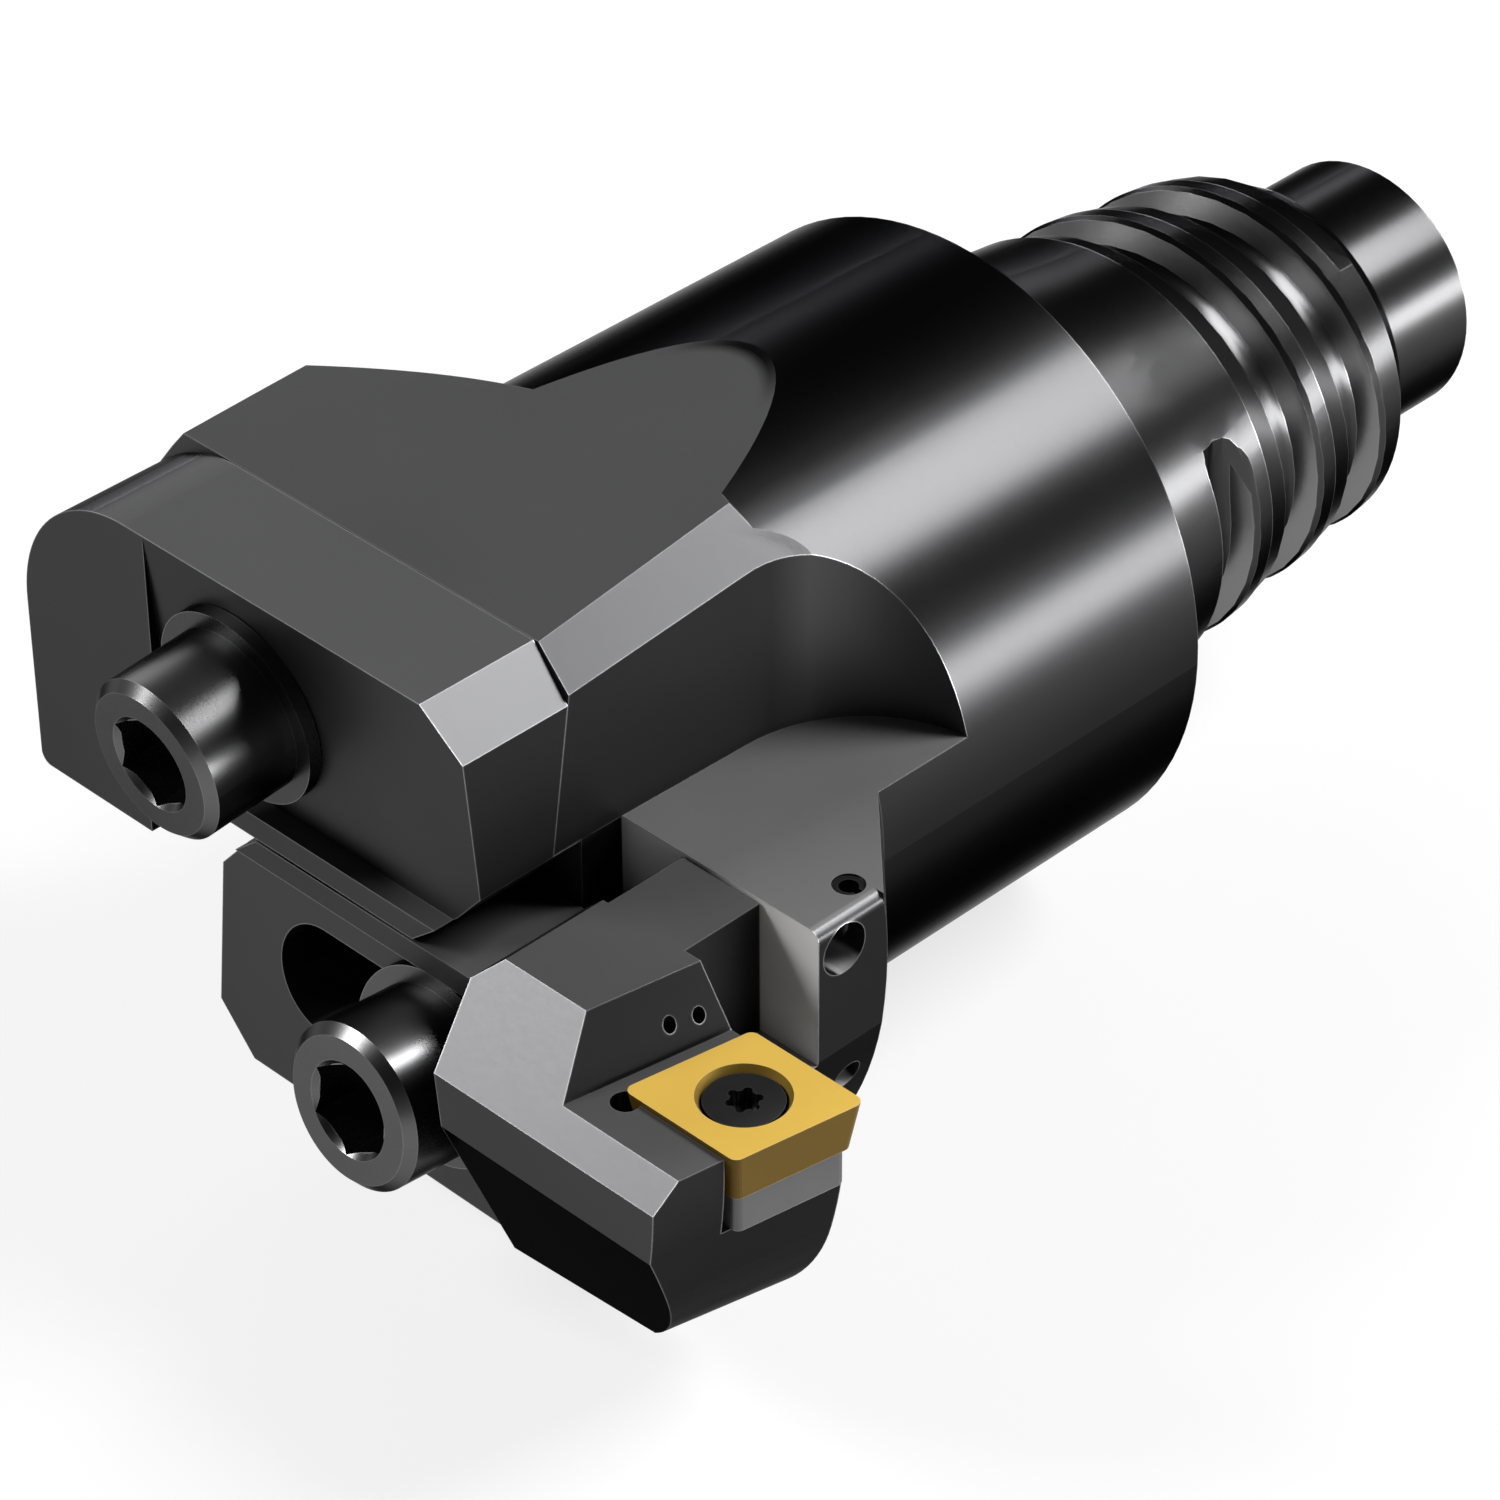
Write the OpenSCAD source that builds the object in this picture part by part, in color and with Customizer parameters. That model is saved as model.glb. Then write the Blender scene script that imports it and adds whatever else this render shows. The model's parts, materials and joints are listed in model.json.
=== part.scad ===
// Back boring head: a cylindrical steel body with a screw-in tapered coupling at
// the rear and two slides clamped to its front. The lower slide carries an
// 80 degree insert that cuts on the back stroke, the upper slide covers its seat.
// Tool axis along Y, coupling towards +Y, front towards -Y, insert side at +X, up +Z.
// The origin is the centre of the contact face between the body and its holder.

/* [Body] */
// Diameter of the cylindrical body
body_d = 62; // [58:1:66]
// Diameter of the front flange that carries the slides
flange_d = 81.6; // [80:0.2:84]
// Distance from the tool axis to the flat on each side of the flange
side_flat_x = 40.25; // [39.9:0.05:41]
// Distance from the contact face to the start of the 45 degree shoulder
shoulder_y = 41.1; // [38:0.5:44]
// Height of the chip pocket floor above the tool axis
pocket_floor_z = 7; // [6.5:0.25:7.5]
// Radius of the chip pocket's rear end
pocket_r = 14.4; // [12:0.2:15]
// Distance from the contact face to the centre of the chip pocket's rear end
pocket_y = 44.3; // [42:0.5:46]
// Half width of the web between the two chip pockets
web_x = 17; // [16:0.25:17.5]
// Distance from the contact face to the step behind the slides
step_y = 58.66; // [58.6:0.02:59]
// Distance from the contact face to the bottom of the key groove
groove_bottom_y = 63.4; // [62:0.1:63.6]
// Slope of the top and bottom flats in degrees
flat_tilt = 7.9; // [6:0.1:9]
// Slope of the chamfer between a flat and its chip pocket in degrees
flat_chamfer_tilt = 38; // [30:1:45]
// Distance from the tool axis to the upper edge of that chamfer
flat_chamfer_x = 13; // [11:0.25:15]

/* [Coupling] */
// Diameter of the plain band at the contact face
taper_root_d = 46.1; // [45:0.1:47]
// Diameter of the plain band where the threaded taper starts
band_end_d = 43.9; // [43:0.1:45]
// Length of the plain band
band_l = 11.9; // [11:0.1:13]
// Diameter of the small end of the taper
taper_end_d = 37.3; // [36:0.1:38]
// Distance from the contact face to the small end of the taper
taper_l = 43.2; // [42:0.2:46]
// Diameter of the guide pilot
pilot_d = 26; // [22:0.5:28]
// Length of the guide pilot
pilot_l = 13.6; // [10:0.2:20]
// Pitch of the coupling thread
thread_pitch = 10.4; // [9.6:0.1:10.8]
// Depth of the coupling thread
thread_depth = 2.7; // [2:0.1:3]
// Width of the thread groove at the crest
thread_groove_w = 5.3; // [4.6:0.1:5.6]
// Distance from the contact face to the start of the thread groove
thread_start_y = 16; // [15:0.5:18]
// Diameter of the coolant bore along the tool axis
coolant_d = 8; // [6:0.5:10]

/* [Slides] */
// Distance from the tool axis to the outer face of both slides
slide_top_z = 25.6; // [25:0.2:26.4]
// Distance from the contact face to the front of both slides
slide_front_y = 76.8; // [75.8:0.2:77.8]
// Distance from the contact face to the slide seat at its outer edge
seat_y = 63.9; // [63.5:0.1:64.5]
// Slope of the slide seats in degrees
seat_tilt = 8.3; // [7:0.1:9]
// Clearance between the slides and the body
slide_gap = 0.1; // [0.05:0.01:0.15]
// Gap between the two slides
slides_gap = 0.3; // [0.2:0.05:0.5]
// Distance from the tool axis to the inner end of each slide
slide_inner_x = 17.1; // [16.5:0.1:17.5]
// Distance from the tool axis to the outer end of each slide
slide_outer_x = 39.1; // [38:0.1:40]
// Corner radius of the outer end of each slide
slide_corner_r = 14.5; // [10:0.5:15]
// Distance from the tool axis to the inner side of each slide's leg
leg_x = 24; // [23.5:0.1:24.2]
// Distance from the tool axis to the outer side of each slide's leg at its rear
leg_outer_x = 33; // [33:0.1:33.6]
// Height of each slide's leg past the tool axis
leg_z = 6.7; // [6.2:0.1:6.9]
// Distance of the insert slide outwards from the cover slide's place
insert_slide_setting = 0.6; // [0:0.1:1]
// Largest travel of the insert slide outwards from this setting
travel_out = 4; // [2:0.5:4]
// Largest travel of the insert slide inwards from this setting
travel_in = 1; // [0.5:0.25:1]

/* [Insert block] */
// Distance from the contact face to the front of the insert block
block_front_y = 86.5; // [85.5:0.25:88]
// Gap between the body's front and the block
block_gap = 1; // [0.8:0.1:1.4]
// Height of the ledge round the insert above the tool axis
ledge_z = 1.4; // [1:0.1:1.6]
// Radius of the block's turned end at its front
block_end_r = 49; // [48:0.1:50]
// Slope of the block's turned end in degrees
block_end_tilt = 9.4; // [8:0.1:10]
// Lean of the wall above the insert in degrees
wall_lean = 33.6; // [28:0.2:38]
// Distance from the insert's inner side to the foot of that wall
wall_gap = 1.55; // [1.3:0.05:1.8]
// Slope of the block's underside along the tool axis in degrees
under_tilt = 14.8; // [12:0.2:17]

/* [Insert] */
// Inscribed circle of the 80 degree insert
insert_ic = 12.7; // [12.5:0.05:12.9]
// Thickness of the insert
insert_t = 4.76; // [4.5:0.02:5]
// Nose radius of the insert
nose_r = 0.8; // [0.7:0.1:1.2]
// Side relief of the insert in degrees
relief = 7; // [6:0.5:8]
// Height of the cutting edge above the tool axis
edge_z = 1.9; // [1.6:0.1:2.4]
// Distance from the contact face to the back cutting edge
edge_y = 66.9; // [66.6:0.1:67.2]
// Boring radius at this setting of the slide
boring_r = 53.45; // [53:0.05:54]
// Thickness of the shim
shim_t = 3.8; // [3:0.1:4]

/* [Fasteners] */
// Thread diameter of the clamping screws
clamp_d = 10; // [8:0.5:10]
// Head diameter of the clamping screws
clamp_head_d = 15.6; // [14.5:0.1:16]
// Head height of the clamping screws
clamp_head_h = 9.6; // [8:0.2:11]
// Length of the clamping screws under the head
clamp_l = 28; // [24:1:30]
// Width across flats of the clamping screws' sockets
clamp_hex = 8; // [6:0.5:8]
// Slope of the clamping screws in degrees
clamp_tilt = 5.3; // [4:0.1:6]
// Diameter of the clamping washers
washer_d = 18.8; // [18:0.2:20]
// Thickness of the clamping washers
washer_t = 1.4; // [1.2:0.1:2.5]
// Clearance of the clamping screws in the slides, on the diameter
slot_clear = 0.8; // [0.4:0.1:1]
// Free length of the insert slide's slot past the screw
slot_l = 15.4; // [10:0.2:16]
// Diameter of the retaining pins
pin_d = 2.9; // [2.5:0.1:3.1]
// Diameter of the adjusting screws' collars
collar_d = 4.8; // [4.4:0.1:4.9]
// Thread diameter of the adjusting screws
adjust_d = 4; // [3.5:0.1:4]
// Clearance between a fixed round piece and its hole, on the radius
fit = 0.03; // [0.02:0.01:0.05]
// Clearance between a turning or sliding piece and its hole, on the radius
running_fit = 0.06; // [0.03:0.01:0.08]

/* [Hidden] */

$fn = 96;
far = 120;
steel = "#26272a";
slide_steel = "#2e2f32";
fastener = "#3a3b3e";
gold = "#d9b54e";
carbide = "#6d6e70";

// Turned blank
flange_r = flange_d / 2;
body_r = body_d / 2;
shoulder_l = flange_r - body_r;
rim_chamfer = 0.3;
web_flare = 0.5;
pilot_chamfer = 1;
end_chamfer_l = 3;
end_chamfer_d = 32.4;
end_cone_l = 1.4;
pilot_y = taper_l + end_chamfer_l + end_cone_l;
flat_edge_r = 1.2;
flat_chamfer_w = 12;

// Slides and their seats
seat_slope = tan(seat_tilt);
clamp_slope = tan(clamp_tilt);
lip_z = 2.6;
proud_x = 22.1;
leg_rear_gap = 0.2;
inner_corner = 1.2;
function seat_at(z) = -seat_y - seat_slope * (slide_top_z - z);
function recess_at(z) = -slide_front_y + clamp_slope * (slide_top_z - z);

front_y = seat_at(pocket_floor_z);
block_rear_y = block_gap - front_y;
web_gap = slide_gap + max(0, travel_in - insert_slide_setting);
top_chamfer_x = 4.6;
top_chamfer_z = 4.1;
inner_end_bend = 0.42;

// Insert block
ledge_slope_l = 2.5;
under_chamfer_y = 8.1;
under_chamfer_z = 6.4;
under_roll = 7.1;
under_at = [45, -77, -22.4];
block_corner_at = [31.5, -8];
side_lean_x = 0.6;
side_top_x = 2.15;
side_top_z = 2;

// Clamping screws: places in X and Z
cover_screw_at = [-10.9, 13.6];
insert_screw_at = [12.2, -12.7];

// Insert: rhombus with one side square to the tool axis
insert_angle = 80;
insert_l = insert_ic / sin(insert_angle);
edge_dir = [sin(90 - insert_angle), cos(90 - insert_angle)];
tip_x = boring_r + nose_r * (1 / tan(insert_angle / 2) - 1);
insert_l_corner = [tip_x - insert_l * (1 + edge_dir[0]), -edge_y - insert_l * edge_dir[1]];
insert_centre = insert_l_corner + insert_l / 2 * ([1, 0] + edge_dir);
shim_z = edge_z - insert_t;
seat_z = shim_z - shim_t;
shim_inset = 0.35;
insert_hole_d = 5.5;
insert_sink_d = 8.1;
insert_screw_d = 4;
insert_head_d = 6.9;
sleeve_d = 6;
sleeve_head_d = 7.6;
sleeve_head_h = 1.4;
sleeve_l = 6;
seat_relief_r = 1.3;
seat_relief_at = [0.9, -0.5];

// Adjusting screws: all places along X at this setting of the slide
adjust_y = 55.6;
adjust_z = 3.8;
pin_x = 37.3;
pin_y = 52.05;
pin_l = 9;
collar_x = 33.5;
nut_x = 27;
nut_l = 3;
nut_w = 5;
nut_gap = 0.15;
nut_shank_d = 3.4;
nut_shank_l = 5;
screw_tip = 3;

// Coolant drillings
coolant_y = 54.1;
coolant_angle = 16;
coolant_cross_r = 1.5;
coolant_riser_r = 1.5;
coolant_riser_x = 31.7;
coolant_riser_z = -9.1;
gallery_end_y = -78;
plug_l = 5;
plug_outer_x = 38.6;
jet_r = 0.6;
// Places of the coolant jets' mouths on the leaning wall
jets = [[36.66, -72.51, 3.57], [37.36, -69.77, 3.24]];

module along_x(x0, x1) {
    translate([x0, 0, 0])
        rotate([90, 0, 90])
            linear_extrude(x1 - x0)
                children();
}

module along_y(y0, y1) {
    translate([0, y1, 0])
        rotate([90, 0, 0])
            linear_extrude(y1 - y0)
                children();
}

module rod_x(r, x0, x1) {
    translate([x0, 0, 0])
        rotate([0, 90, 0])
            cylinder(r = r, h = x1 - x0);
}

module rod_y(r, y0, y1) {
    translate([0, y0, 0])
        rotate([-90, 0, 0])
            cylinder(r = r, h = y1 - y0);
}

// Drilling from one point to another
module drill(from, to, r) {
    d = to - from;
    translate(from)
        rotate([0, acos(d[2] / norm(d)), atan2(d[1], d[0])])
            cylinder(r = r, h = norm(d), $fn = 32);
}

// Area outside a round corner at the origin, towards -X and +Y
module round_corner(r) {
    difference() {
        translate([-1, -r])
            square([r + 1, r + 1]);
        translate([r, -r])
            circle(r);
    }
}

module half_turn() {
    rotate([0, 180, 0])
        children();
}

// Coupling thread: the groove starts at a flat on the taper, winds round it and
// runs out at its small end. A shallow ramp leads into it from the front.
groove_steps = 36;
groove_turns = 2.95;
groove_first = -0.375;
groove_last = groove_steps * groove_turns;
groove_fade = 6;
groove_start_angle = 28;
groove_flat_angle = 9;
groove_flat_r = 18.6;
groove_flank = tan(30);
groove_over = 0.6;
groove_fillet = 0.4;
crest_break = 0.3;
ramp_l = 2.65;
ramp_step = 0.05;
ramp_drop = 0.35;
function crest_r(y) = y < band_l
    ? (taper_root_d - (taper_root_d - band_end_d) * y / band_l) / 2
    : (band_end_d - (band_end_d - taper_end_d) * (y - band_l) / (taper_l - band_l)) / 2;
function groove_y(k) = thread_start_y + thread_pitch * k / groove_steps;
function groove_angle(k) = groove_start_angle - 360 * k / groove_steps;
function groove_depth(k) = thread_depth * min(1, (groove_last - k) / groove_fade);
function groove_floor(k) = groove_angle(k) > groove_flat_angle
    ? groove_flat_r / cos(groove_angle(k))
    : crest_r(groove_y(k)) - groove_depth(k);

// Point of a groove section: s along the axis from its middle, drop below the crest,
// and never less than lift above the groove's floor
function groove_point(k, s, drop, lift) =
    let (r = max(crest_r(groove_y(k) + s) - drop, groove_floor(k) + lift))
    [r * cos(groove_angle(k)), groove_y(k) + s, r * sin(groove_angle(k))];
function groove_section(k) =
    let (
        half = thread_groove_w / 2,
        narrow = half - thread_depth * groove_flank,
        side = narrow + groove_fillet,
        ramp_s = half + ramp_l * max(0.1, min(1, k / groove_steps)),
        edge = half + crest_break + 2 * groove_over
    )
    [groove_point(k, -ramp_s, -groove_over, 0.6),
     groove_point(k, edge, -groove_over, 0.6),
     groove_point(k, half - crest_break / 2, crest_break, 0.4),
     groove_point(k, side, far, groove_fillet / 2),
     groove_point(k, narrow - groove_fillet, far, 0),
     groove_point(k, groove_fillet - narrow, far, 0),
     groove_point(k, -side, far, groove_fillet / 2),
     groove_point(k, -half, ramp_drop, 0.4),
     groove_point(k, -ramp_s, ramp_step, 0.5)];

module thread_groove() {
    ks = [for (k = [groove_first:1:groove_last - 0.2]) k];
    n = len(ks);
    m = 9;
    points = [for (k = ks) each groove_section(k)];
    sides = [for (i = [0:n - 2]) for (j = [0:m - 1])
        let (a = m * i + j, b = m * i + (j + 1) % m)
        each [[a, b, a + m], [b, b + m, a + m]]];
    cap = [[0, 1, 2], [0, 2, 8], [8, 2, 7], [7, 2, 3], [7, 3, 6], [6, 3, 4], [6, 4, 5]];
    last = m * (n - 1);
    start_cap = [for (t = cap) [t[0], t[2], t[1]]];
    end_cap = [for (t = cap) [last, last, last] + t];
    polyhedron(points, concat(sides, start_cap, end_cap), convexity = 6);
}

module turned_blank() {
    rotate([-90, 0, 0])
        rotate_extrude()
            polygon([
                [0, front_y],
                [flange_r, front_y],
                [flange_r, -shoulder_y - shoulder_l],
                [body_r, -shoulder_y],
                [body_r, -rim_chamfer],
                [body_r - rim_chamfer, 0],
                [taper_root_d / 2, 0],
                [band_end_d / 2, band_l],
                [taper_end_d / 2, taper_l],
                [end_chamfer_d / 2, taper_l + end_chamfer_l],
                [pilot_d / 2, pilot_y],
                [pilot_d / 2, pilot_y + pilot_l - pilot_chamfer],
                [pilot_d / 2 - pilot_chamfer, pilot_y + pilot_l],
                [0, pilot_y + pilot_l]]);
}

// Everything milled for one slide: flat, chamfer, chip pocket, seat and step
module slide_side_cuts() {
    translate([0, -seat_y, slide_top_z])
        rotate([flat_tilt, 0, 0]) {
            translate([-far / 2, -far / 2, 0])
                cube([far, far, far / 2]);
            translate([flat_chamfer_x, 0, 0])
                rotate([0, flat_chamfer_tilt, 0])
                    translate([-far / 2, -far / 2, 0])
                        cube([far / 2 + flat_chamfer_w, far, far / 2]);
        }
    // Chip pocket with its round end
    translate([0, 0, pocket_floor_z]) {
        linear_extrude(far)
            polygon([
                [web_x, -far],
                [web_x, -seat_y],
                [web_x + web_flare, -pocket_y],
                [far, -pocket_y],
                [far, -far]]);
        translate([web_x + web_flare + pocket_r, -pocket_y, 0])
            cylinder(r = pocket_r, h = far);
    }
    // Tilted seat
    along_x(-far, far)
        polygon([
            [seat_at(pocket_floor_z), pocket_floor_z],
            [seat_at(far), far],
            [-far, far],
            [-far, pocket_floor_z]]);
    // Round edge between the chip pocket's floor and the side flat
    along_y(-far, -shoulder_y - shoulder_l)
        translate([side_flat_x, pocket_floor_z])
            mirror([1, 0])
                round_corner(flat_edge_r);
    // Notch beside the web, back to the step
    translate([web_x, -far, -pocket_floor_z])
        cube([far, far - step_y, 2 * pocket_floor_z]);
}

module adjuster_bores() {
    window_x0 = nut_x - nut_l / 2 - travel_in - nut_gap * 2;
    window_x1 = nut_x + nut_l / 2 + travel_out + nut_gap * 2;
    window_w = nut_w + 2 * nut_gap;
    translate([0, -adjust_y, adjust_z]) {
        rod_x(collar_d / 2 + running_fit, collar_x - running_fit, flange_r + 1);
        rod_x(adjust_d / 2 + running_fit, window_x0 - screw_tip, collar_x);
    }
    translate([window_x0, -step_y - 1, adjust_z - window_w / 2])
        cube([window_x1 - window_x0, step_y + 1 - adjust_y + window_w / 2, window_w]);
    translate([pin_x, -pin_y, pocket_floor_z - pin_l])
        cylinder(d = pin_d + 2 * fit, h = far, $fn = 48);
}

module coolant_bores() {
    // Cross drilling from the side of the flange to the axial bore, and a riser to the seat
    rotate([0, coolant_angle, 0])
        translate([0, -coolant_y, 0])
            rod_x(coolant_cross_r, 0, flange_r + 1);
    translate([coolant_riser_x, 0, coolant_riser_z])
        rod_y(coolant_riser_r, -far, -coolant_y);
}

module body() {
    color(steel)
        difference() {
            turned_blank();
            thread_groove();
            for (side = [0, 180])
                rotate([0, side, 0]) {
                    slide_side_cuts();
                    adjuster_bores();
                    coolant_bores();
                    translate([side_flat_x, -far, -far / 2])
                        cube([far, far, far]);
                }
            // Groove across the front for the keys of both slides
            translate([-web_x - 1, -far, -pocket_floor_z])
                cube([2 * web_x + 2, far - groove_bottom_y, 2 * pocket_floor_z]);
            clamp_axis(cover_screw_at)
                clamp_hole(clamp_d / 2 + fit);
            clamp_axis(insert_screw_at)
                clamp_hole(clamp_d / 2 + fit);
            rod_y(coolant_d / 2, -coolant_y - coolant_d / 2, far);
        }
}

// Frame of a clamping screw: origin on the spot face, +Z out towards its head
module clamp_axis(at) {
    translate([at[0], recess_at(abs(at[1])), at[1]])
        rotate([90 + sign(at[1]) * clamp_tilt, 0, 0])
            children();
}

module clamp_hole(r) {
    translate([0, 0, washer_t - clamp_l - 3])
        cylinder(r = r, h = clamp_l + 3);
}

// Slide outline seen from the front, for the upper slide at its place
module slide_outline() {
    bottom = slides_gap / 2;
    cut = pocket_floor_z - bottom;
    difference() {
        polygon([
            [-slide_outer_x, -leg_z],
            [-leg_x, -leg_z],
            [-leg_x, bottom],
            [slide_inner_x - cut, bottom],
            [slide_inner_x - cut / 2, bottom + cut * inner_end_bend],
            [slide_inner_x, pocket_floor_z],
            [slide_inner_x, slide_top_z - top_chamfer_z],
            [slide_inner_x - top_chamfer_x, slide_top_z],
            [-slide_outer_x, slide_top_z]]);
        translate([-slide_outer_x, slide_top_z])
            round_corner(slide_corner_r);
        translate([-slide_outer_x, -leg_z])
            mirror([0, 1])
                round_corner(inner_corner);
    }
}

// Room that the body's front takes, seen by the upper slide
module body_front() {
    along_x(-far, far)
        polygon([
            [seat_at(pocket_floor_z) - slide_gap, pocket_floor_z - slide_gap],
            [seat_at(far) - slide_gap, far],
            [0, far],
            [0, pocket_floor_z - slide_gap]]);
    translate([-web_x - web_gap, -groove_bottom_y - slide_gap, -far / 2])
        cube([2 * (web_x + web_gap), far, far]);
    translate([-leg_outer_x - far, -block_rear_y, -far])
        cube([far, far, far + pocket_floor_z]);
}

// Upper slide blank: its spot face for the clamping screw ends at spot_x
module slide_blank(spot_x) {
    difference() {
        along_y(-slide_front_y, -step_y - leg_rear_gap)
            slide_outline();
        body_front();
        along_x(-spot_x, far)
            polygon([
                [recess_at(lip_z), lip_z],
                [recess_at(far), far],
                [-far, far],
                [-far, lip_z]]);
    }
}

module cover_slide() {
    color(slide_steel)
        difference() {
            slide_blank(proud_x);
            clamp_axis(cover_screw_at)
                clamp_hole(clamp_d / 2 + slot_clear / 2);
        }
}

// Insert block: profile seen from the side, cut to the turned end
module insert_block() {
    end_slope = tan(block_end_tilt);
    end_l = block_front_y - block_rear_y + 2;
    rise = leg_z - ledge_z;
    ledge_front_y = ledge_slope_l - block_front_y;
    corner_turn = atan2(-block_corner_at[1], block_corner_at[0]);
    corner_front_r = block_end_r - norm(block_corner_at);
    corner_rear_r = corner_front_r + end_slope * end_l;
    difference() {
        intersection() {
            along_x(0, far)
                polygon([
                    [-block_rear_y, -slide_top_z],
                    [-block_rear_y, leg_z],
                    [ledge_front_y + rise, leg_z],
                    [-block_front_y, ledge_z - ledge_slope_l],
                    [-block_front_y, -under_chamfer_z],
                    [under_chamfer_y - block_front_y, -slide_top_z]]);
            translate([0, -block_front_y, 0])
                rotate([-90, 0, 0])
                    cylinder(r1 = block_end_r, r2 = block_end_r + end_slope * end_l, h = end_l);
            // Inner side, seen from the front
            along_y(-far, 0)
                polygon([
                    [leg_x, -far],
                    [leg_x, -under_chamfer_z],
                    [leg_x - side_lean_x, ledge_z - ledge_slope_l],
                    [leg_x - side_top_x, leg_z - side_top_z],
                    [leg_x, leg_z],
                    [leg_x, far],
                    [far, far],
                    [far, -far]]);
        }
        // Underside sloping up towards the front and the outer end
        translate(under_at)
            rotate([-under_tilt, -under_roll, 0])
                translate([-far / 2, -far / 2, -far])
                    cube([far, far, far]);
        // Round lower outer corner, tangent to the turned end
        translate([block_corner_at[0], -block_front_y, block_corner_at[1]])
            difference() {
                rotate([0, corner_turn, 0])
                    translate([0, 0, -far])
                        cube([far, end_l, far]);
                rotate([-90, 0, 0])
                    cylinder(r1 = corner_front_r, r2 = corner_rear_r, h = end_l);
            }
    }
}

module insert_pocket() {
    // Room above the ledge, behind a leaning wall
    translate([insert_l_corner[0] - wall_gap, insert_l_corner[1], ledge_z])
        rotate([0, 0, insert_angle - 90])
            along_y(-far, far)
                polygon([[0, 0], [-far * tan(wall_lean), far], [far, far], [far, 0]]);
    // Seat of insert and shim
    translate([0, 0, seat_z])
        linear_extrude(far)
            polygon([
                insert_l_corner,
                insert_l_corner + [far, 0],
                insert_l_corner + [far, 0] + far * edge_dir,
                insert_l_corner + far * edge_dir]);
    // Relief in the inner corner of the seat
    translate([insert_l_corner[0] + seat_relief_at[0], insert_l_corner[1] + seat_relief_at[1], seat_z])
        cylinder(r = seat_relief_r, h = far, $fn = 40);
    translate([insert_centre[0], insert_centre[1], seat_z - sleeve_l - 1])
        cylinder(d = sleeve_d + 2 * fit, h = far);
}

module slide_coolant() {
    // Drilling along the slide behind the leaning wall, fed from the seat
    translate([coolant_riser_x, 0, coolant_riser_z])
        rod_y(coolant_riser_r, gallery_end_y, 0);
    for (jet = jets)
        drill([coolant_riser_x, jet[1] - 1, coolant_riser_z], jet + [1, 0.2, 2.2], jet_r);
}

module insert_slide() {
    color(slide_steel)
        difference() {
            union() {
                translate([insert_slide_setting, 0, 0])
                    half_turn()
                        slide_blank(leg_x - insert_slide_setting);
                insert_block();
            }
            insert_pocket();
            slide_coolant();
            clamp_axis(insert_screw_at)
                clamp_slot();
            translate([nut_x, -step_y - leg_rear_gap, adjust_z])
                rod_y(nut_shank_d / 2 + fit, -nut_shank_l, 1);
        }
}

module clamp_slot() {
    slot_r = (clamp_d + slot_clear) / 2;
    inner = travel_in + 0.2;
    translate([inner, 0, 0])
        clamp_hole(slot_r);
    translate([-slot_l, 0, 0])
        clamp_hole(slot_r);
    translate([-slot_l, -slot_r, washer_t - clamp_l - 3])
        cube([slot_l + inner, 2 * slot_r, clamp_l + 3]);
}

module clamp_screw() {
    socket_l = 5;
    rim = 0.9;
    mouth_h = 0.5;
    top = washer_t + clamp_head_h;
    mouth_d = clamp_hex / cos(30);
    color(fastener)
        difference() {
            union() {
                translate([0, 0, washer_t])
                    cylinder(d = clamp_head_d, h = clamp_head_h - rim);
                translate([0, 0, top - rim])
                    cylinder(d1 = clamp_head_d, d2 = clamp_head_d - 2 * rim, h = rim);
                translate([0, 0, washer_t - clamp_l])
                    cylinder(d = clamp_d, h = clamp_l);
            }
            translate([0, 0, top - socket_l])
                rotate([0, 0, 30])
                    cylinder(d = mouth_d, h = socket_l + 1, $fn = 6);
            translate([0, 0, top - mouth_h])
                cylinder(d1 = mouth_d - 2 * mouth_h, d2 = mouth_d + 0.01, h = mouth_h + 0.01);
        }
}

module washer() {
    color(fastener)
        difference() {
            translate([0, 0, slide_gap])
                cylinder(d = washer_d, h = washer_t - slide_gap);
            cylinder(d = clamp_d + slot_clear, h = 2 * washer_t);
        }
}

module cover_clamp_screw() {
    clamp_axis(cover_screw_at)
        clamp_screw();
}

module insert_clamp_screw() {
    clamp_axis(insert_screw_at)
        clamp_screw();
}

module cover_washer() {
    clamp_axis(cover_screw_at)
        washer();
}

module insert_slide_washer() {
    clamp_axis(insert_screw_at)
        washer();
}

module cutting_insert() {
    side = tan(relief) * insert_t;
    color(gold)
        translate([insert_centre[0], insert_centre[1], shim_z])
            difference() {
                hull() {
                    translate([0, 0, insert_t - 0.1])
                        linear_extrude(0.1)
                            rhombus_outline(0, nose_r);
                    linear_extrude(0.1)
                        rhombus_outline(-side, nose_r);
                }
                translate([0, 0, -1])
                    cylinder(d = insert_hole_d, h = insert_t + 2);
                translate([0, 0, insert_t - 2.4])
                    cylinder(d1 = insert_hole_d, d2 = insert_sink_d, h = 2.401);
            }
}

// Rhombus with four round corners
module rhombus_outline(grow, r) {
    half = insert_l / 2 + grow / sin(insert_angle) - r / sin(insert_angle);
    hull()
        for (i = [-1, 1], j = [-1, 1])
            translate(i * half * [1, 0] + j * half * edge_dir)
                circle(r, $fn = 24);
}

module shim() {
    side = tan(relief) * insert_t + shim_inset;
    color(carbide)
        translate([insert_centre[0], insert_centre[1], seat_z])
            difference() {
                linear_extrude(shim_t)
                    rhombus_outline(-side, nose_r);
                translate([0, 0, -1])
                    cylinder(d = sleeve_d + 2 * fit, h = shim_t + 2);
                translate([0, 0, shim_t - sleeve_head_h])
                    cylinder(d = sleeve_head_d + 2 * fit, h = sleeve_head_h + 1);
            }
}

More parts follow.
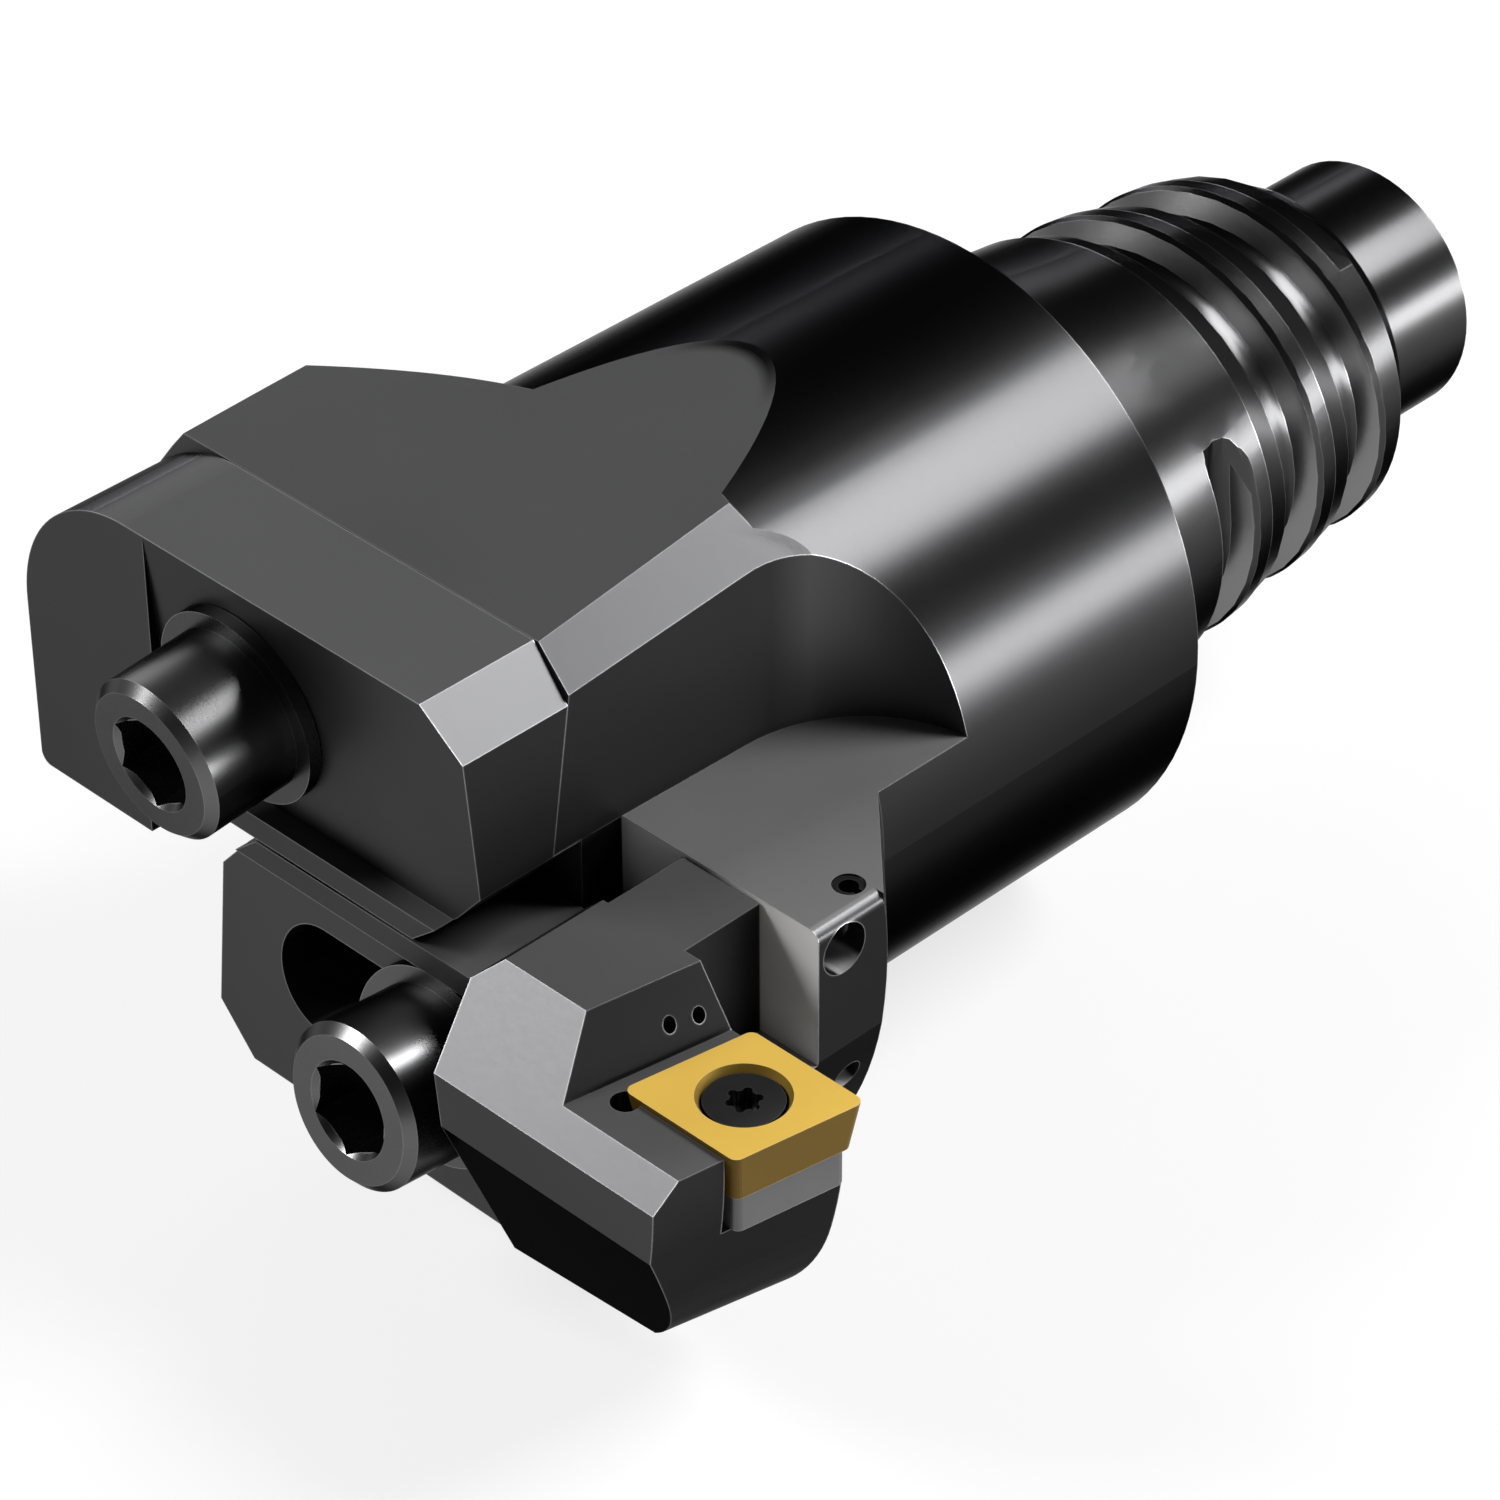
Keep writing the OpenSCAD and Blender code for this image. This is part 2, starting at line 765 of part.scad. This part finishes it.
module shim_sleeve() {
    color(fastener)
        translate([insert_centre[0], insert_centre[1], seat_z])
            difference() {
                union() {
                    translate([0, 0, -sleeve_l])
                        cylinder(d = sleeve_d, h = sleeve_l + shim_t - 0.1);
                    translate([0, 0, shim_t - sleeve_head_h])
                        cylinder(d = sleeve_head_d, h = sleeve_head_h - 0.1);
                }
                translate([0, 0, -sleeve_l - 1])
                    cylinder(d = insert_screw_d + 2 * fit, h = far);
            }
}

module insert_screw() {
    head_z = insert_t - 0.5;
    cone_h = 2;
    lobe_r = 0.42;
    socket_r = 1.65;
    color(fastener)
        translate([insert_centre[0], insert_centre[1], shim_z])
            difference() {
                union() {
                    translate([0, 0, head_z - 0.6])
                        cylinder(d = insert_head_d, h = 0.6);
                    translate([0, 0, head_z - 0.6 - cone_h])
                        cylinder(d1 = insert_screw_d, d2 = insert_head_d, h = cone_h);
                    translate([0, 0, -shim_t - sleeve_l + 1])
                        cylinder(d = insert_screw_d, h = head_z + shim_t + sleeve_l - 2);
                }
                translate([0, 0, head_z - 1.6]) {
                    cylinder(r = socket_r - lobe_r, h = 3, $fn = 32);
                    for (i = [0:5])
                        rotate([0, 0, 60 * i])
                            translate([socket_r - lobe_r, 0, 0])
                                cylinder(r = lobe_r, h = 3, $fn = 16);
                }
            }
}

// Adjusting screw: the retaining pin holds its head against the end of the bore
module adjuster() {
    tip_x = nut_x - nut_l / 2 - travel_in - screw_tip;
    head_x = pin_x - pin_d / 2 - 2 * fit;
    socket_af = 2;
    socket_l = 1.8;
    color(fastener)
        translate([0, -adjust_y, adjust_z])
            difference() {
                union() {
                    rod_x(adjust_d / 2, tip_x, collar_x + 1);
                    rod_x(collar_d / 2, collar_x, head_x);
                }
                translate([head_x - socket_l, 0, 0])
                    rotate([0, 90, 0])
                        cylinder(d = socket_af / cos(30), h = socket_l + 1, $fn = 6);
            }
}

module adjusting_nut() {
    color(fastener)
        difference() {
            union() {
                translate([nut_x - nut_l / 2, -step_y - leg_rear_gap, adjust_z - nut_w / 2])
                    cube([nut_l, step_y + leg_rear_gap - adjust_y + nut_w / 2 - nut_gap, nut_w]);
                translate([nut_x, -step_y - leg_rear_gap, adjust_z])
                    rod_y(nut_shank_d / 2, 0.2 - nut_shank_l, 0.5);
            }
            translate([0, -adjust_y, adjust_z])
                rod_x(adjust_d / 2 + running_fit, nut_x - nut_l, nut_x + nut_l);
        }
}

module spring_pin() {
    wall = 0.55;
    slit = 0.7;
    color(fastener)
        translate([pin_x, -pin_y, pocket_floor_z - pin_l])
            difference() {
                cylinder(d = pin_d, h = pin_l - 0.2, $fn = 48);
                translate([0, 0, -1])
                    cylinder(d = pin_d - 2 * wall, h = pin_l + 2, $fn = 48);
                translate([0, -slit / 2, -1])
                    cube([pin_d, slit, pin_l + 2]);
            }
}

module adjusting_screw() {
    adjuster();
}

module retaining_pin() {
    spring_pin();
}

module cover_side_adjusting_screw() {
    half_turn()
        adjuster();
}

module cover_side_retaining_pin() {
    half_turn()
        spring_pin();
}

module coolant_plugs() {
    color(fastener)
        for (side = [0, 180])
            rotate([0, side + coolant_angle, 0])
                translate([0, -coolant_y, 0])
                    difference() {
                        rod_x(coolant_cross_r - fit, plug_outer_x - plug_l, plug_outer_x);
                        translate([plug_outer_x - 2, 0, 0])
                            rotate([0, 90, 0])
                                cylinder(d = 1.5 / cos(30), h = 3, $fn = 6);
                    }
}

body();
cover_slide();
insert_slide();
cover_clamp_screw();
insert_clamp_screw();
cover_washer();
insert_slide_washer();
cutting_insert();
shim();
shim_sleeve();
insert_screw();
adjusting_screw();
adjusting_nut();
retaining_pin();
cover_side_adjusting_screw();
cover_side_retaining_pin();
coolant_plugs();
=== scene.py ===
import json
import math

import bpy
from mathutils import Matrix, Vector


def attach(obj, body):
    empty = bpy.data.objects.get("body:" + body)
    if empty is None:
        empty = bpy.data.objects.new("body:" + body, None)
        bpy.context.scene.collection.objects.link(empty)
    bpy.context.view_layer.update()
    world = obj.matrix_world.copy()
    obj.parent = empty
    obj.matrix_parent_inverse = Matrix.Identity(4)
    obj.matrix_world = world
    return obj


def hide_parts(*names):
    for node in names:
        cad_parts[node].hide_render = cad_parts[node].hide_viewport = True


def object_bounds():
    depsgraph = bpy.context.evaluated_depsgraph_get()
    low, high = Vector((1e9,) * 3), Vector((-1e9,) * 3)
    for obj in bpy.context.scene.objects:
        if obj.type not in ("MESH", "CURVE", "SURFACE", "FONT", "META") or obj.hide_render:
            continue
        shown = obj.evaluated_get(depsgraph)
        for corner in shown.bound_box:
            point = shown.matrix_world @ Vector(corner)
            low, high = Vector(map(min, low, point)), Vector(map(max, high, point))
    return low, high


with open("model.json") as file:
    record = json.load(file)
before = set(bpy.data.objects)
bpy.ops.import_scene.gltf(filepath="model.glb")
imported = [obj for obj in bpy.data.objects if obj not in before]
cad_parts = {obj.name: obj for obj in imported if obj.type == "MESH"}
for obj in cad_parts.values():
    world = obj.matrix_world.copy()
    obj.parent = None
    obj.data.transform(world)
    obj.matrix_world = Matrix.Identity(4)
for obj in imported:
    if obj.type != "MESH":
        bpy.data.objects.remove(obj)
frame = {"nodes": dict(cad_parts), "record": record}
cad_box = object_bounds()
nodes = frame["nodes"]
MM = 0.001


# Camera

CAMERA_AZIMUTH = 44.82
CAMERA_ELEVATION = 36.33
CAMERA_ROLL = 0.173
CAMERA_PLACE = Vector((293.74, -321.71, 294.46)) * MM
CAMERA_HALF_VIEW = 7.555
SENSOR_WIDTH = 36
NEAREST_SEEN = 0.01
FARTHEST_SEEN = 60


def make_camera():
    azimuth = math.radians(CAMERA_AZIMUTH)
    elevation = math.radians(CAMERA_ELEVATION)
    back = Vector((
        math.sin(azimuth) * math.cos(elevation),
        -math.cos(azimuth) * math.cos(elevation),
        math.sin(elevation)))
    right = Vector((math.cos(azimuth), math.sin(azimuth), 0))
    up = back.cross(right)
    roll = Matrix.Rotation(-math.radians(CAMERA_ROLL), 3, "Z")
    axes = Matrix((right, up, back)).transposed() @ roll
    camera = bpy.data.objects.new("camera", bpy.data.cameras.new("camera"))
    bpy.context.scene.collection.objects.link(camera)
    camera.matrix_world = Matrix.Translation(CAMERA_PLACE) @ axes.to_4x4()
    camera.data.sensor_width = SENSOR_WIDTH
    camera.data.lens = SENSOR_WIDTH / 2 / math.tan(math.radians(CAMERA_HALF_VIEW))
    camera.data.clip_start = NEAREST_SEEN
    camera.data.clip_end = FARTHEST_SEEN
    bpy.context.scene.camera = camera


# Studio

HORIZON_LEVEL = 0.3
CEILING_LEVEL = 0.02
CEILING_STARTS = 0.45
LIT_POINT = Vector((0, -0.02, 0))

# Name, direction from the tool, distance, width and length along the tool's axis, and power.
SOFT_BOXES = [
    ("key_box", (0.40, 0.571, 0.72), 1.0, (0.40, 0.42), 10.5),
    ("front_left_box", (-0.57, -0.6, 0.57), 1.0, (0.34, 0.34), 7),
    ("back_left_box", (-0.77, 0.571, 0.30), 1.0, (0.56, 0.7), 7),
    ("low_right_box", (0.8, 0.58, 0.02), 0.5, (0.11, 0.5), 3.6),
]


def make_soft_box(name, towards, distance, size, power):
    """A rectangular lamp that faces the tool."""
    data = bpy.data.lights.new(name, "AREA")
    data.shape = "RECTANGLE"
    data.size, data.size_y = size
    data.energy = power
    lamp = bpy.data.objects.new(name, data)
    bpy.context.scene.collection.objects.link(lamp)
    back = Vector(towards).normalized()
    along = (Vector((0, 1, 0)) - back * back.y).normalized()
    lamp.location = LIT_POINT + back * distance
    lamp.rotation_mode = "QUATERNION"
    lamp.rotation_quaternion = Matrix((along.cross(back), along, back)).transposed().to_quaternion()


def make_room():
    """A dim room, lighter at the horizon than overhead."""
    world = bpy.data.worlds.new("studio")
    bpy.context.scene.world = world
    world.use_nodes = True
    tree = world.node_tree
    tree.nodes.clear()
    out = tree.nodes.new("ShaderNodeOutputWorld")
    room = tree.nodes.new("ShaderNodeBackground")
    place = tree.nodes.new("ShaderNodeTexCoord")
    split = tree.nodes.new("ShaderNodeSeparateXYZ")
    ramp = tree.nodes.new("ShaderNodeValToRGB")
    stops = ((0.0, HORIZON_LEVEL), (CEILING_STARTS, CEILING_LEVEL))
    for stop, (position, level) in zip(ramp.color_ramp.elements, stops):
        stop.position = position
        stop.color = (level, level, level, 1)
    tree.links.new(place.outputs["Generated"], split.inputs[0])
    tree.links.new(split.outputs["Z"], ramp.inputs["Fac"])
    tree.links.new(ramp.outputs["Color"], room.inputs["Color"])
    tree.links.new(room.outputs[0], out.inputs["Surface"])


make_camera()
bpy.context.scene.view_settings.view_transform = "Standard"
make_room()
for soft_box in SOFT_BOXES:
    make_soft_box(*soft_box)


# Materials

BEVEL_SAMPLES = 6
EDGE_CONTRAST = 5
UP = (0, 0, 1)
TO_FRONT = (0, -1, 0)
TO_SIDE = (1, 0, 0)
BLOCK_UNDERSIDE = (0, -0.92, -0.39)
JET_WALL = (0.82, -0.14, 0.55)
POCKET_FLOOR = (0, -0.3, 1)
BODY_RADIUS = 31 * MM
SEAT_STEP_Y = -58.66 * MM

# Ramps between two finishes, from the value where the change starts to the one where it ends
SAME_FACE = (0.985, 0.995)
OFF_CYLINDER = (0.1 * MM, 0.3 * MM)
OFF_STEP = (0.2 * MM, 0.3 * MM)
COUPLING_STARTS = (0.2 * MM, 0.4 * MM)
LOW_TOPS_END = (11 * MM, 12 * MM)
POCKET_ENDS = (6 * MM, 7.5 * MM)
STEP_FACE_STARTS = (16.5 * MM, 17 * MM)


class Wire:
    """A socket of a material whose sums, products and powers add the nodes for them."""

    def __init__(self, maker, socket):
        self.maker = maker
        self.socket = socket

    def math(self, operation, *others):
        return self.maker.node("ShaderNodeMath", {"operation": operation}, self, *others)

    def __add__(self, other):
        return self.math("ADD", other)

    __radd__ = __add__

    def __mul__(self, other):
        return self.math("MULTIPLY", other)

    __rmul__ = __mul__

    def __sub__(self, other):
        return self.math("SUBTRACT", other)

    def __rsub__(self, other):
        return (self * -1) + other

    def __truediv__(self, other):
        return self.math("DIVIDE", other)

    def __pow__(self, other):
        return self.math("POWER", other)

    def abs(self):
        return self.math("ABSOLUTE")

    def clamped(self):
        return self.maker.node("ShaderNodeClamp", {}, self, 0, 1)

    def step(self, low, high):
        """0 below low, 1 above high and a ramp between them."""
        return self.maker.node("ShaderNodeMapRange", {}, self, low, high, 0, 1)


class Finish:
    """A material under construction, with one Principled shader."""

    def __init__(self, name, metallic, edge_tint=0.2):
        self.material = bpy.data.materials.new(name)
        self.material.use_nodes = True
        self.tree = self.material.node_tree
        self.shader = self.tree.nodes["Principled BSDF"]
        self.shader.inputs["Metallic"].default_value = metallic
        self.shader.inputs["Specular Tint"].default_value = (edge_tint, edge_tint, edge_tint, 1)
        self.place = self.node("ShaderNodeTexCoord", {}, output="Object")

    def node(self, kind, settings, *values, output=0):
        made = self.tree.nodes.new(kind)
        for key, value in settings.items():
            setattr(made, key, value)
        for socket, value in zip(made.inputs, values):
            self.feed(socket, value)
        return Wire(self, made.outputs[output])

    def feed(self, socket, value):
        if isinstance(value, Wire):
            self.tree.links.new(value.socket, socket)
        elif value is not None:
            socket.default_value = value

    def noise(self, scale, detail=3, stretch=(1, 1, 1)):
        """Noise in metres over the object, drawn out along an axis by a small stretch."""
        spread = self.node("ShaderNodeVectorMath", {"operation": "MULTIPLY"}, self.place, stretch)
        made = self.tree.nodes.new("ShaderNodeTexNoise")
        self.feed(made.inputs["Vector"], spread)
        made.inputs["Scale"].default_value = scale
        made.inputs["Detail"].default_value = detail
        return Wire(self, made.outputs["Fac"])

    def axes(self, vector):
        """The three parts of a vector."""
        split = self.tree.nodes.new("ShaderNodeSeparateXYZ")
        self.feed(split.inputs[0], vector)
        return [Wire(self, s) for s in split.outputs]

    def facing(self, direction):
        """1 where the surface looks along a direction, in the object's own axes."""
        normal = self.node("ShaderNodeTexCoord", {}, output="Normal")
        return self.node("ShaderNodeVectorMath", {"operation": "DOT_PRODUCT"},
                         normal, Vector(direction).normalized(), output="Value")

    def edges(self, radius):
        """1 along the sharp edges, where the colour is lightened: partly rubbed wear, partly
        painted edge highlight.
        """
        round_off = self.tree.nodes.new("ShaderNodeBevel")
        round_off.samples = BEVEL_SAMPLES
        round_off.inputs["Radius"].default_value = radius
        normal = self.node("ShaderNodeNewGeometry", {}, output="Normal")
        agree = self.node("ShaderNodeVectorMath", {"operation": "DOT_PRODUCT"},
                          Wire(self, round_off.outputs[0]), normal, output="Value")
        return ((1 - agree) * EDGE_CONTRAST).clamped()

    def relief(self, height, depth):
        """Raises the surface by a pattern, depth metres from 0 to 1."""
        bump = self.tree.nodes.new("ShaderNodeBump")
        bump.inputs["Distance"].default_value = depth
        self.feed(bump.inputs["Height"], height)
        self.set("Normal", Wire(self, bump.outputs[0]))

    def blend(self, factor, first, second):
        """The first colour at factor 0, the second at 1."""
        made = self.tree.nodes.new("ShaderNodeMix")
        made.data_type = "RGBA"
        self.feed(made.inputs["Factor"], factor)
        colours = [s for s in made.inputs if s.type == "RGBA"]
        for socket, colour in zip(colours, (first, second)):
            self.feed(socket, colour if isinstance(colour, Wire) else (*colour, 1))
        return Wire(self, [s for s in made.outputs if s.type == "RGBA"][0])

    def mottle(self, cloud, shades, tone=1.0):
        """A colour that drifts between two shades, both lightened by tone."""
        dark, light = [[level * tone for level in shade] for shade in shades]
        return self.blend(cloud, dark, light)

    def set(self, name, value):
        self.feed(self.shader.inputs[name], value)


def grey(level, blue=None):
    """A grey, or a trace cooler with its own level of blue."""
    return (level, level, blue or level)


# The darker and the lighter tone of each kind of surface, the ones named painted light or painted
# shade standing in for light and shade, then the lighter colour along each edge: partly rubbed
# wear, partly painted edge highlight
MILLED = (grey(0.064, 0.065), grey(0.078, 0.080))
TOPS_PAINTED_LIGHT = (grey(0.100, 0.101), grey(0.122, 0.124))
LOW_TOPS_PAINTED_LIGHT = (grey(0.19), grey(0.24))
TURNED = (grey(0.031, 0.032), grey(0.036, 0.037))
COUPLING = (grey(0.047, 0.048), grey(0.056, 0.057))
THREAD_FLANKS_PAINTED_LIGHT = (grey(0.17), grey(0.22))
POCKET_FLOORS_PAINTED_LIGHT = (grey(0.36), grey(0.46))
SEAT_STEPS_PAINTED_LIGHT = (grey(0.74), grey(0.82))
SCREWS = (grey(0.105, 0.106), grey(0.130, 0.132))
CARBIDE = (grey(0.10, 0.102), grey(0.14, 0.143))
GOLD_TOPS = ((0.74, 0.47, 0.080), (0.82, 0.54, 0.105))
GOLD_FLANKS_PAINTED_SHADE = ((0.09, 0.052, 0.005), (0.125, 0.073, 0.007))
PAPER = (grey(0.87), grey(0.89))
PAINTED_SHADE_BLACK = grey(0.008)
RUBBED_STEEL_AND_HIGHLIGHT = grey(0.42, 0.43)
RUBBED_SCREW_AND_HIGHLIGHT = grey(0.4)
RUBBED_GOLD_AND_HIGHLIGHT = (0.85, 0.7, 0.33)
RUBBED_CARBIDE_AND_HIGHLIGHT = grey(0.6)


def turned_skin(finish, x, y, z):
    """1 on the cylinder and on the whole coupling."""
    radius = (x ** 2 + z ** 2) ** 0.5
    out_x, _, out_z = finish.axes(finish.node("ShaderNodeTexCoord", {}, output="Normal"))
    outward = (out_x * x + out_z * z) / radius
    near = 1 - (radius - BODY_RADIUS).abs().step(*OFF_CYLINDER)
    return (near * outward.step(0.97, 0.99) + y.step(*COUPLING_STARTS)).clamped()


def cutter_steel(name, tone=1.0, on_body=False):
    """Blackened tool steel: fine cutter rows on milled faces, a smoother skin on turned ones, with
    painted light and shade: lighter tops, pocket floors, seat step face and front-facing coupling
    faces, darker side faces, block underside and jet wall, and lighter edges, partly rubbed wear,
    partly painted edge highlight.
    """
    finish = Finish(name, metallic=1.0)
    x, y, z = finish.axes(finish.place)
    cloud = finish.noise(45, 4)
    rows = finish.noise(2600, 2, (0.25, 1, 0.25))
    speckle = finish.noise(3800, 1)
    skin = turned_skin(finish, x, y, z) if on_body else 0
    # Painted light: faces looking up are lightened, and those lying low more strongly.
    top = finish.facing(UP).step(0.95, 0.985)
    low_top = top * (1 - z.step(*LOW_TOPS_END))
    base = finish.mottle(cloud, MILLED, tone)
    base = finish.blend(top, base, finish.mottle(cloud, TOPS_PAINTED_LIGHT))
    base = finish.blend(low_top, base, finish.mottle(cloud, LOW_TOPS_PAINTED_LIGHT))
    base = finish.blend(skin, base, finish.mottle(cloud, TURNED))

    # Painted shade: faces looking along +x, the block's underside and the jet wall are darkened
    # towards black by the mask dense.
    side = finish.facing(TO_SIDE).step(0.9, 0.98)
    underside = finish.facing(BLOCK_UNDERSIDE).step(*SAME_FACE)
    jet_wall = finish.facing(JET_WALL).step(*SAME_FACE)
    dense = ((side * 0.65 + underside + jet_wall * 0.85) * (1 - skin)).clamped()
    base = finish.blend(dense, base, PAINTED_SHADE_BLACK)

    if on_body:
        coupling = y.step(*COUPLING_STARTS)
        front = finish.facing(TO_FRONT)
        base = finish.blend(coupling, base, finish.mottle(cloud, COUPLING))
        # Painted light: the coupling's faces looking to the front are lightened.
        flank = coupling * front.step(0.6, 0.85)
        base = finish.blend(flank, base, finish.mottle(cloud, THREAD_FLANKS_PAINTED_LIGHT))
        # Painted light: the pocket floor and the seat step face (the mask ground) are lightened and
        # made less metallic.
        inner = (1 - z.step(*POCKET_ENDS)) * (1 - skin)
        pocket = finish.facing(POCKET_FLOOR).step(0.8, 0.9) * inner
        at_step = 1 - (y - SEAT_STEP_Y).abs().step(*OFF_STEP)
        ground = front.step(0.9, 0.98) * at_step * x.step(*STEP_FACE_STARTS)
        base = finish.blend(pocket, base, finish.mottle(cloud, POCKET_FLOORS_PAINTED_LIGHT))
        base = finish.blend(ground, base, finish.mottle(cloud, SEAT_STEPS_PAINTED_LIGHT))
        finish.set("Metallic", 1 - 0.75 * pocket - 0.9 * ground)

    # Lighter along sharp edges: partly rubbed wear, partly painted edge highlight.
    wear_and_highlight = finish.edges(0.22 * MM) * (0.35 + 0.5 * cloud)
    finish.set("Base Color", finish.blend(wear_and_highlight, base, RUBBED_STEEL_AND_HIGHLIGHT))
    satin = 0.36 + 0.15 * (top * (1 - skin)) - 0.17 * skin
    finish.set("Roughness", satin + 0.05 * cloud + 0.03 * speckle + 0.02 * rows)
    finish.relief(rows * 0.7 + speckle * 0.3, 0.0025 * MM)
    return finish.material


def black_oxide(name):
    """Hardened screws: dense black oxide, satin, duller on flat tops, lighter at the rims: partly
    rubbed wear, partly painted edge highlight.
    """
    finish = Finish(name, metallic=1.0)
    cloud = finish.noise(120, 3)
    speckle = finish.noise(4200, 1)
    top = finish.facing(UP).step(0.9, 0.98)
    base = finish.mottle(cloud, SCREWS)
    # Lighter rims: partly rubbed wear, partly painted edge highlight.
    finish.set("Base Color", finish.blend(finish.edges(0.18 * MM) * 0.6, base, RUBBED_SCREW_AND_HIGHLIGHT))
    finish.set("Roughness", 0.24 + 0.12 * top + 0.05 * cloud + 0.03 * speckle)
    finish.relief(speckle, 0.002 * MM)
    return finish.material


def gold_coating(name):
    """The hard gold-coloured layer on the insert: bright on top, with painted shade that makes the
    sides much darker and browner, and lighter edges: partly rubbed wear, partly painted edge
    highlight.
    """
    finish = Finish(name, metallic=0.25, edge_tint=1.0)
    finish.shader.inputs["Specular IOR Level"].default_value = 0.1
    cloud = finish.noise(90, 4)
    grain = finish.noise(5200, 2)
    # Painted shade: faces not looking up get a much darker, browner copy of the gold.
    top = finish.facing(UP).step(0.4, 0.9)
    base = finish.blend(top, finish.mottle(cloud, GOLD_FLANKS_PAINTED_SHADE), finish.mottle(cloud, GOLD_TOPS))
    # Lighter edges: partly rubbed wear, partly painted edge highlight.
    finish.set("Base Color", finish.blend(finish.edges(0.12 * MM) * 0.5, base, RUBBED_GOLD_AND_HIGHLIGHT))
    finish.set("Roughness", 0.42 + 0.08 * cloud + 0.05 * grain)
    finish.relief(grain, 0.0015 * MM)
    return finish.material


def ground_carbide(name):
    """The shim: bare grey carbide with fine grinding lines."""
    finish = Finish(name, metallic=0.6)
    cloud = finish.noise(90, 3)
    lines = finish.noise(3000, 2, (1, 1, 0.1))
    base = finish.mottle(cloud, CARBIDE)
    # Lighter edges: partly rubbed wear, partly painted edge highlight.
    finish.set("Base Color", finish.blend(finish.edges(0.12 * MM) * 0.5, base, RUBBED_CARBIDE_AND_HIGHLIGHT))
    finish.set("Roughness", 0.36 + 0.08 * cloud + 0.05 * lines)
    finish.relief(lines, 0.0025 * MM)
    return finish.material


FINISHES = {
    "body_steel": cutter_steel("blackened body steel", on_body=True),
    "slide_steel": cutter_steel("blackened slide steel", tone=1.12),
    "screw_steel": black_oxide("black oxide screws"),
    "insert_coating": gold_coating("gold coating"),
    "shim_carbide": ground_carbide("ground carbide"),
}


# Pieces

THREAD_START = 9 * MM
THREAD_BEND = math.cos(math.radians(23))
SAME_CORNER = 0.0001 * MM
FLAT = 0.9999
LEAST_AREA = 1e-9


def joined_copy(name):
    """A node's solid as one closed mesh with shared corners, and the normals at its corners."""
    source = nodes[name]
    piece = bpy.data.objects.new(name + "_finished", source.data.copy())
    bpy.context.scene.collection.objects.link(piece)
    facing = [Vector(n.vector) for n in source.data.corner_normals]
    bpy.ops.object.select_all(action="DESELECT")
    bpy.context.view_layer.objects.active = piece
    piece.select_set(True)
    bpy.ops.object.mode_set(mode="EDIT")
    bpy.ops.mesh.select_all(action="SELECT")
    bpy.ops.mesh.remove_doubles(threshold=SAME_CORNER)
    bpy.ops.object.mode_set(mode="OBJECT")
    return piece, facing


def smooth_thread(piece, facing):
    """The thread's steps shade as one swept surface; every other face keeps the way it faces."""
    mesh = piece.data
    meeting = {}
    for face in mesh.polygons:
        if face.center.y > THREAD_START:
            for corner in face.loop_indices:
                if facing[corner].dot(face.normal) > FLAT:
                    meeting.setdefault(mesh.loops[corner].vertex_index, []).append((corner, face))
    for corners in meeting.values():
        for corner, face in corners:
            alike = [other for _, other in corners if face.normal.dot(other.normal) > THREAD_BEND]
            total = sum((other.normal * max(other.area, LEAST_AREA) for other in alike), Vector())
            facing[corner] = total.normalized()
    mesh.normals_split_custom_set(facing)


for part in frame["record"]["subparts"]:
    materials = nodes[part["node"]].data.materials
    materials.clear()
    materials.append(FINISHES[part["material_slot"]])

body, body_facing = joined_copy("body")
smooth_thread(body, body_facing)
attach(body, "body")
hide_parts("body")


# Floor

FLOOR_SIDE = 40
FLOOR_GAP = 0.5 * MM
FLOOR_WHITE = 0.75


def pale_floor(name):
    """Paper that keeps the tool's shadow, and is near white to the camera and in reflections."""
    finish = Finish(name, metallic=0.0)
    finish.shader.inputs["Roughness"].default_value = 0.9
    finish.set("Base Color", finish.mottle(finish.noise(3, 2), PAPER))
    rays = finish.tree.nodes.new("ShaderNodeLightPath")
    kinds = ("Is Camera Ray", "Is Glossy Ray", "Is Transmission Ray")
    camera, glossy, through = [Wire(finish, rays.outputs[kind]) for kind in kinds]
    seen = (camera + glossy + through).clamped()
    glow = finish.node("ShaderNodeEmission", {}, (1, 1, 1, 1), 1.0)
    paper = Wire(finish, finish.shader.outputs[0])
    share = finish.node("ShaderNodeMixShader", {}, seen * FLOOR_WHITE, paper, glow)
    finish.feed(finish.tree.nodes["Material Output"].inputs["Surface"], share)
    return finish.material


bpy.ops.object.select_all(action="DESELECT")
bpy.ops.mesh.primitive_plane_add(size=FLOOR_SIDE, location=(0, 0, cad_box[0].z - FLOOR_GAP))
floor = bpy.context.object
floor.name = "floor"
bpy.ops.object.transform_apply(location=True, rotation=True, scale=True)
floor.data.materials.append(pale_floor("pale floor"))
